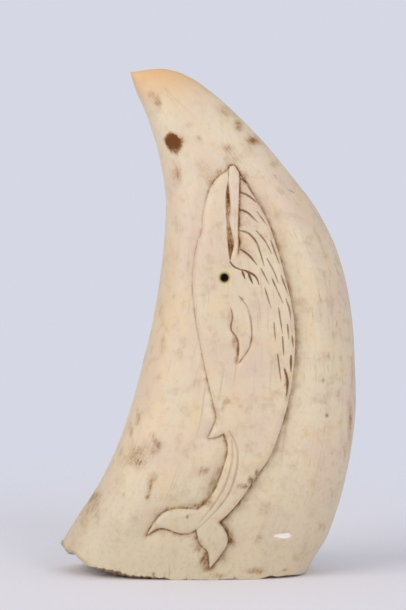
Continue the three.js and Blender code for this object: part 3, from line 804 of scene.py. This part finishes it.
# %% The engraving tree
def engraving_tree():
    """Presses each point of the face in by the stroke nearest to it, and stores the soot there."""
    tree = bpy.data.node_groups.new("engrave_strokes", "GeometryNodeTree")
    tree.is_modifier = True
    for name, kind, direction_in_out in (
        ("Geometry", "NodeSocketGeometry", "INPUT"), ("Drawing", "NodeSocketObject", "INPUT"),
        ("Point Spacing", "NodeSocketFloat", "INPUT"), ("Ink Spread", "NodeSocketFloat", "INPUT"),
        ("Finish", "NodeSocketMaterial", "INPUT"), ("Geometry", "NodeSocketGeometry", "OUTPUT"),
    ):
        tree.interface.new_socket(name, in_out=direction_in_out, socket_type=kind)
    given = add(tree, "NodeGroupInput").outputs
    drawing = add(tree, "GeometryNodeObjectInfo", inputs={"Object": given["Drawing"]}).outputs["Geometry"]
    curves = add(tree, "GeometryNodeMeshToCurve", inputs={0: drawing})
    curves = add(tree, "GeometryNodeCurveSplineType", {"spline_type": "CATMULL_ROM"}, {0: curves})
    curves = add(tree, "GeometryNodeResampleCurve", {"mode": "LENGTH"},
                 {"Curve": curves, "Length": given["Point Spacing"]})
    points = add(tree, "GeometryNodeCurveToPoints", {"mode": "EVALUATED"}, {0: curves})
    here = add(tree, "GeometryNodeInputPosition")
    flat = add(tree, "ShaderNodeVectorMath", {"operation": "MULTIPLY"}, {0: here, 1: (1, 0, 1)})
    nearest = add(tree, "GeometryNodeSampleNearest", {"domain": "POINT"}, {0: points, 1: flat})

    def at_nearest(name):
        """The named number of the nearest stroke point."""
        value = add(tree, "GeometryNodeInputNamedAttribute", {"data_type": "FLOAT"}, {"Name": name})
        return add(tree, "GeometryNodeSampleIndex", {"data_type": "FLOAT"},
                   {"Geometry": points, "Value": value, "Index": nearest})

    place = add(tree, "GeometryNodeSampleIndex", {"data_type": "FLOAT_VECTOR"},
                {"Geometry": points, "Value": here, "Index": nearest})
    gap = add(tree, "ShaderNodeVectorMath", {"operation": "DISTANCE"}, {0: flat, 1: place})
    share = add(tree, "ShaderNodeMath", {"operation": "DIVIDE"},
                {0: gap.outputs["Value"], 1: at_nearest("half_width")})
    deep = add(tree, "ShaderNodeMapRange", {"interpolation_type": "SMOOTHERSTEP"},
               {"Value": share, "From Min": 1.05, "From Max": -0.35})
    cut = add(tree, "ShaderNodeMath", {"operation": "MULTIPLY"}, {0: deep, 1: at_nearest("depth")})
    back = add(tree, "ShaderNodeCombineXYZ", inputs={"Y": cut})
    side = add(tree, "ShaderNodeSeparateXYZ", inputs={0: here})
    on_face = add(tree, "FunctionNodeCompare", {"operation": "LESS_THAN"},
                  {0: side.outputs["Y"], 1: -0.002})
    sunk = add(tree, "GeometryNodeSetPosition",
               inputs={"Geometry": given["Geometry"], "Selection": on_face, "Offset": back})
    ink = add(tree, "ShaderNodeMapRange", {"interpolation_type": "SMOOTHSTEP"},
              {"Value": share, "From Min": given["Ink Spread"], "From Max": 0.3})
    ink = add(tree, "ShaderNodeMath", {"operation": "MULTIPLY"}, {0: ink, 1: at_nearest("tone")})
    ink = add(tree, "ShaderNodeMath", {"operation": "MULTIPLY"}, {0: ink, 1: on_face})
    inked = add(tree, "GeometryNodeStoreNamedAttribute", {"data_type": "FLOAT", "domain": "POINT"},
                {"Geometry": sunk, "Name": "ink", "Value": ink})
    whole = add(tree, "GeometryNodeRealizeInstances", inputs={0: inked})
    done = add(tree, "GeometryNodeSetMaterial", inputs={"Geometry": whole, "Material": given["Finish"]})
    add(tree, "NodeGroupOutput", inputs={"Geometry": done})
    return tree


# %% Apply a tree and keep a plain mesh
def apply_tree(piece, tree, values):
    """Runs a Geometry Nodes tree on a piece and leaves the result as its plain mesh."""
    modifier = piece.modifiers.new(tree.name, "NODES")
    modifier.node_group = tree
    for item in tree.interface.items_tree:
        if item.in_out == "INPUT" and item.name in values:
            modifier[item.identifier] = values[item.name]
    bpy.context.view_layer.update()
    evaluated = piece.evaluated_get(bpy.context.evaluated_depsgraph_get())
    result = bpy.data.meshes.new_from_object(evaluated)
    piece.modifiers.remove(modifier)
    piece.data = result


# %% [markdown]
# ## The ivory
# Sperm whale ivory is creamy and faintly pink, a little translucent, and rubbed to a soft gloss by
# hands. It yellows at the handled tip, stays greener at the root, and has fine growth lines. So the
# base is a mix of near creams, with grain stretched along the growth, and light goes about a
# millimetre deep.

# %% Colours
def srgb(code):
    """A colour from its sRGB hex code, as the linear numbers that shaders use."""
    parts = [int(code[n:n + 2], 16) / 255 for n in (1, 3, 5)]
    return (*[c / 12.92 if c <= 0.04045 else ((c + 0.055) / 1.055) ** 2.4 for c in parts], 1)


IVORY_CREAM, IVORY_PINK, IVORY_YELLOW, IVORY_ROSE, IVORY_PALE_LIT = map(
    srgb, ("#E3D3B3", "#DFCAB0", "#E8C898", "#DCC2AE", "#F2E2C6"))
TIP_AMBER, ROOT_GREEN_SHADED, GRAIN_BROWN, HOLLOW_BROWN, BREAK_TAN_AND_SHADE, FLAKE_PALE = map(
    srgb, ("#E6BC84", "#C5BA9C", "#B08E64", "#BFA27A", "#80552F", "#F1E6E2"))
TAN, LOW_TAN, SOOT, DARK_BROWN, HALO_YELLOW, RING_OLIVE = map(
    srgb, ("#A6783F", "#9A7649", "#734C26", "#6A3A14", "#DFD08C", "#4A3820"))

# %% Small helpers for the ivory's nodes
ivory, ivory_tree, ivory_shader, ivory_place = new_material("whale_ivory")


def measure(name):
    """A number that each point of the mesh carries."""
    return add(ivory_tree, "ShaderNodeAttribute", {"attribute_name": name}).outputs["Fac"]


def pattern(size_mm, detail, vector=ivory_place, per_metre=1000.0):
    """Noise with lumps of a real size."""
    return add(ivory_tree, "ShaderNodeTexNoise", inputs={
        "Vector": vector, "Scale": per_metre / size_mm, "Detail": detail, "Roughness": 0.55})


def ranged(value, low, high, to_low=0.0, to_high=1.0):
    """Goes from one number to another, with soft ends, as the value goes from low to high."""
    return add(ivory_tree, "ShaderNodeMapRange", {"interpolation_type": "SMOOTHSTEP"}, {
        "Value": value, "From Min": low, "From Max": high, "To Min": to_low, "To Max": to_high})


def maths(operation, first, second):
    return add(ivory_tree, "ShaderNodeMath", {"operation": operation}, {0: first, 1: second})


def times(first, second):
    return maths("MULTIPLY", first, second)


def tint(colour, other, factor):
    """One colour turned towards another by a share."""
    return add(ivory_tree, "ShaderNodeMix", {"data_type": "RGBA"},
               {"Factor": factor, "A": colour, "B": other})


def wash(colour, rows):
    """Lays colours over one another, each where its value goes from low to high."""
    for other, value, low, high, most in rows:
        colour = tint(colour, other, ranged(value, low, high, 0, most))
    return colour


print(len(ivory_tree.nodes), "nodes in a new material")

# %% The patterns, along the growth and all round
grain_place = add(ivory_tree, "ShaderNodeAttribute", {"attribute_name": "grain"}).outputs["Vector"]
across = add(ivory_tree, "ShaderNodeSeparateXYZ", inputs={0: grain_place}).outputs["X"]
short_grain = add(ivory_tree, "ShaderNodeVectorMath", {"operation": "MULTIPLY"},
                  {0: grain_place, 1: (1, 1, 2.8)})
streaks = pattern(1.1, 4, grain_place, 1.0)
broad_streaks = pattern(5.0, 2, grain_place, 1.0)
dashes = pattern(0.85, 3, short_grain, 1.0)
clouds = pattern(19, 2)
patches = pattern(8, 3)
mottle = pattern(3.2, 4)
grit = pattern(1.3, 5)
speck = pattern(0.55, 3)
height = maths("ADD", measure("up"), times(clouds, 0.06))  # with an uneven edge
print(len(ivory_tree.nodes), "nodes with the patterns")

# %% The ivory's own colour
# the drift of cream, pink and yellow, yellower on the thin concave edge
colour = wash(IVORY_CREAM, [
    (IVORY_PINK, clouds, 0.35, 0.65, 1),
    (IVORY_YELLOW, broad_streaks, 0.5, 0.75, 0.3),
    (IVORY_YELLOW, patches, 0.5, 0.7, 0.4),
    (IVORY_ROSE, patches, 0.5, 0.3, 0.45),
    (GRAIN_BROWN, mottle, 0.48, 0.8, 0.4),
    (GRAIN_BROWN, streaks, 0.56, 0.8, 0.42),
    (GRAIN_BROWN, speck, 0.6, 0.85, 0.2),
    (IVORY_YELLOW, across, 26, 38, 0.18),
])
# brown dashes along the growth on the convex side
to_convex = ranged(across, -14, -30)
colour = tint(colour, TAN, times(ranged(dashes, 0.6, 0.75, 0, 0.6), to_convex))
# paler towards the neck, amber at the tip, greener and darker at the root; the pale neck and the dark
# root are partly the ivory's own tone and partly painted light, lighter high up and shaded low down
towards_tip = maths("ADD", height, times(across, -0.0012))
colour = wash(colour, [
    (IVORY_PALE_LIT, height, 0.6, 0.85, 0.28),
    (TIP_AMBER, towards_tip, 0.88, 1.02, 0.9),
    (ROOT_GREEN_SHADED, height, 0.36, 0.05, 0.65),
])
# the root has kept more of its rough brown-flecked skin
flecks = times(ranged(grit, 0.48, 0.74, 0, 0.25), ranged(height, 0.4, 0.12, 0.3, 1))
colour = tint(colour, GRAIN_BROWN, flecks)
print(len(ivory_tree.nodes), "nodes with the ivory's own colour")

# %% Stains, dirt, painted shade, soot and damage over it
# stains, dirt and painted shade have uneven edges
uneven = ranged(mottle, 0.32, 0.68, 0.68, 1.25)
uneven = times(uneven, ranged(dashes, 0.35, 0.65, 0.78, 1.22))
uneven = times(uneven, ranged(speck, 0.32, 0.68, 0.82, 1.15))
marks_and_shade = times(maths("MAXIMUM", measure("stain"), measure("dirt_and_shade")), uneven)
stain_and_shade_colour = tint(LOW_TAN, TAN, ranged(height, 0.3, 0.6))
soot = times(measure("ink"), ranged(mottle, 0.3, 0.6, 0.75, 1.1))
# the tan and dark brown laid over these marks are stains, dirt and painted shade
colour = wash(colour, [
    (stain_and_shade_colour, marks_and_shade, 0.02, 0.85, 0.85),
    (DARK_BROWN, marks_and_shade, 0.45, 1.3, 0.9),
    (SOOT, soot, 0.02, 1.0, 0.86),
    (HALO_YELLOW, measure("halo"), 0.0, 0.55, 0.75),
])
# the ring round the eye, the fresh flake, the hollow and the broken wall
broken = measure("broken")
colour = tint(colour, RING_OLIVE, measure("eye_ring"))
colour = tint(colour, FLAKE_PALE, ranged(measure("flake"), 0.0, 0.25))
colour = tint(colour, HOLLOW_BROWN, times(measure("inside"), 0.75))
# the broken wall's dark brown is partly stain and partly painted warm shade under the lifted rim
colour = tint(colour, BREAK_TAN_AND_SHADE, times(broken, ranged(mottle, 0.3, 0.7, 0.6, 0.95)))
print(len(ivory_tree.nodes), "nodes with the marks")

# %% The gloss: rubbed smooth, duller where dirt and painted shade lie and where the root broke
dull = maths("ADD", maths("MAXIMUM", marks_and_shade, soot), broken)
matt = maths("ADD", ranged(dull, 0.0, 0.8, 0.38, 0.68), ranged(streaks, 0.3, 0.7, -0.04, 0.06))
scratches = maths("ADD", times(streaks, 0.7), times(speck, 0.3))
bump = add(ivory_tree, "ShaderNodeBump", inputs={
    "Strength": 0.5, "Distance": 0.00012, "Height": scratches})
feed(ivory_tree, ivory_shader, {
    "Base Color": colour, "Roughness": matt, "Normal": bump, "IOR": 1.54,
    "Specular IOR Level": ranged(dull, 0.1, 1.0, 0.4, 0.1), "Subsurface Weight": 0.3,
    "Subsurface Radius": (1.0, 0.6, 0.35), "Subsurface Scale": 0.0012,
})
print(len(ivory_tree.nodes), "nodes in the finished ivory")

# %% Cut the strokes into the tooth
drawing = stroke_drawing()
apply_tree(tooth, engraving_tree(), {
    "Drawing": drawing, "Point Spacing": 0.08 * MM, "Ink Spread": 1.15, "Finish": ivory,
})
bpy.data.objects.remove(drawing)
print(f"engraved {tooth.name}: {len(tooth.data.polygons)} triangles")

# %% [markdown]
# ## The eye
# A thin peg of dark horn or baleen, pushed into a drilled hole and polished with the rest. It's a
# turned shape, so a profile spun round its axis makes it: a domed head on a peg that tapers a
# little towards its inner end.

# %% The pin's profile, from the middle of its head to its inner end
pin_low, pin_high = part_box("eye_pin")
pin_radius, pin_length = (pin_high.x - pin_low.x) / 2, pin_high.y - pin_low.y
PIN_TURNS = 40
PIN_DOME = 0.35  # the head's height over the pin's radius
PIN_TAPER = [(0.97, 0.5), (0.86, 1)]  # shares of the radius, and of the length
# distances from the axis and behind the head's top, in metres
profile = [(pin_radius * math.sin(a), PIN_DOME * pin_radius * (1 - math.cos(a)))
           for a in np.linspace(0, math.pi / 2, 9)[1:]]
profile += [(pin_radius * wide, pin_length * back) for wide, back in PIN_TAPER]


def turned_pin():
    """The profile spun round the pin's axis, with a point in the middle of each end."""
    turns = np.linspace(0, 2 * math.pi, PIN_TURNS, endpoint=False)
    middle = (pin_low + pin_high) / 2
    points = [(middle.x + r * math.cos(a), pin_low.y + back, middle.z + r * math.sin(a))
              for r, back in profile for a in turns]
    head, last = len(points), len(points) - PIN_TURNS
    points += [(middle.x, pin_low.y, middle.z), (middle.x, pin_high.y, middle.z)]
    faces = []
    for n in range(PIN_TURNS):
        after = (n + 1) % PIN_TURNS
        faces.append((head, n, after))
        for low in range(0, last, PIN_TURNS):
            faces.append((low + n, low + n + PIN_TURNS, low + after + PIN_TURNS, low + after))
        faces.append((head + 1, last + after, last + n))
    return mesh_object("polished_eye_pin", points, faces)


def horn_material():
    """Black horn, polished: nearly black brown, with fine lengthwise fibres that catch the light."""
    material, tree, shader, coords = new_material("polished_dark_horn")
    fibres = add(tree, "ShaderNodeTexNoise", inputs={"Vector": coords, "Scale": 5 / MM, "Detail": 3})
    colour = add(tree, "ShaderNodeMix", {"data_type": "RGBA"},
                 {"Factor": fibres, "A": srgb("#0A0302"), "B": srgb("#1A0B06")})
    feed(tree, shader, {
        "Base Color": colour, "Roughness": 0.3, "IOR": 1.55, "Specular IOR Level": 0.03})
    return material


eye_pin = turned_pin()
eye_pin.data.materials.append(horn_material())
print(f"the pin is {pin_length * 1000:.2f} mm long")

# %% [markdown]
# ## Floor, light and camera
# The tooth stands on a pale, faintly blue sweep in soft light from large lamps. The floor is a disc
# that fades out into an even world colour, so that there is no horizon from any side.

# %% The floor
BACKDROP = srgb("#D5D8E4")
FLOOR_RADIUS, FLOOR_TURNS = 1.6, 96
FADE_FROM, FADE_TO = 0.04, 0.34  # distances from the middle, in metres


def pale_floor():
    """A disc that turns clear with distance."""
    turns = np.linspace(0, 2 * math.pi, FLOOR_TURNS, endpoint=False)
    ring = [(FLOOR_RADIUS * math.cos(a), FLOOR_RADIUS * math.sin(a), 0) for a in turns]
    floor = mesh_object("floor", ring, [range(FLOOR_TURNS)])
    material, tree, shader, coords = new_material("pale_sweep")
    feed(tree, shader, {"Base Color": srgb("#F5F2F4"), "Roughness": 0.75, "Specular IOR Level": 0.2})
    away = add(tree, "ShaderNodeVectorMath", {"operation": "LENGTH"}, {0: coords}).outputs["Value"]
    fade = add(tree, "ShaderNodeMapRange", {"interpolation_type": "SMOOTHSTEP"},
               {"Value": away, "From Min": FADE_FROM, "From Max": FADE_TO})
    clear = add(tree, "ShaderNodeBsdfTransparent")
    both = add(tree, "ShaderNodeMixShader", inputs={0: fade, 1: shader, 2: clear})
    feed(tree, tree.nodes["Material Output"], {"Surface": both})
    floor.data.materials.append(material)
    return floor


floor = pale_floor()
print("floor radius:", FLOOR_RADIUS, "m")

# %% The light
scene = bpy.context.scene
scene.view_settings.view_transform = "Standard"
SKY_LIGHT = 0.78  # the sweep lights the tooth less than it shows, so that the lamps model the relief
world = bpy.data.worlds.new("soft_studio")
scene.world = world
world.use_nodes = True
sky = world.node_tree
seen = add(sky, "ShaderNodeLightPath").outputs["Is Camera Ray"]
strength = add(sky, "ShaderNodeMapRange", inputs={"Value": seen, "To Min": SKY_LIGHT, "To Max": 1.0})
feed(sky, sky.nodes["Background"], {"Color": BACKDROP, "Strength": strength})
middle = Vector((0, 0, tooth_high.z / 2))


def softbox(name, place, size, watts, colour):
    """A square lamp that faces the tooth."""
    light = bpy.data.lights.new(name, "AREA")
    light.size = size
    light.energy = watts
    light.color = srgb(colour)[:3]
    lamp = bpy.data.objects.new(name, light)
    lamp.location = place
    lamp.rotation_euler = (middle - lamp.location).to_track_quat("-Z", "Y").to_euler()
    scene.collection.objects.link(lamp)


softbox("key_light", Vector((-1.95, -1.35, 1.3)), 2.1, 32, "#FFFAF4")
softbox("fill_light", Vector((1.25, -2.0, 0.75)), 1.3, 18, "#FDFBFF")
print(len(bpy.data.lights), "lamps")

# %% The camera
CAMERA_AWAY = 5.0 * tooth_tall
CAMERA_TILT = math.radians(3)
AIM_X, AIM_UP = -0.00153, 0.5326  # in metres, and as a share of the tooth's height
aim = Vector((AIM_X, 0, tooth_low.z + AIM_UP * tooth_tall))
camera_data = bpy.data.cameras.new("camera")
camera_data.lens = 148.3
camera_data.sensor_width = 36
camera = bpy.data.objects.new("camera", camera_data)
camera.location = aim + CAMERA_AWAY * Vector((0, -math.cos(CAMERA_TILT), math.sin(CAMERA_TILT)))
camera.rotation_euler = (aim - camera.location).to_track_quat("-Z", "Y").to_euler()
scene.collection.objects.link(camera)
scene.camera = camera
print("camera at", [round(v, 4) for v in camera.location])

# %% [markdown]
# ## The pieces on one body
# Each piece rides on the one body and stands for its solid in the frame.

# %% Ride and replace
for piece, node, slot in ((tooth, "tooth", "ivory"), (eye_pin, "eye_pin", "dark_inlay")):
    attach(piece, "root")
    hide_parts(node)
print("handed over:", tooth.name, eye_pin.name)
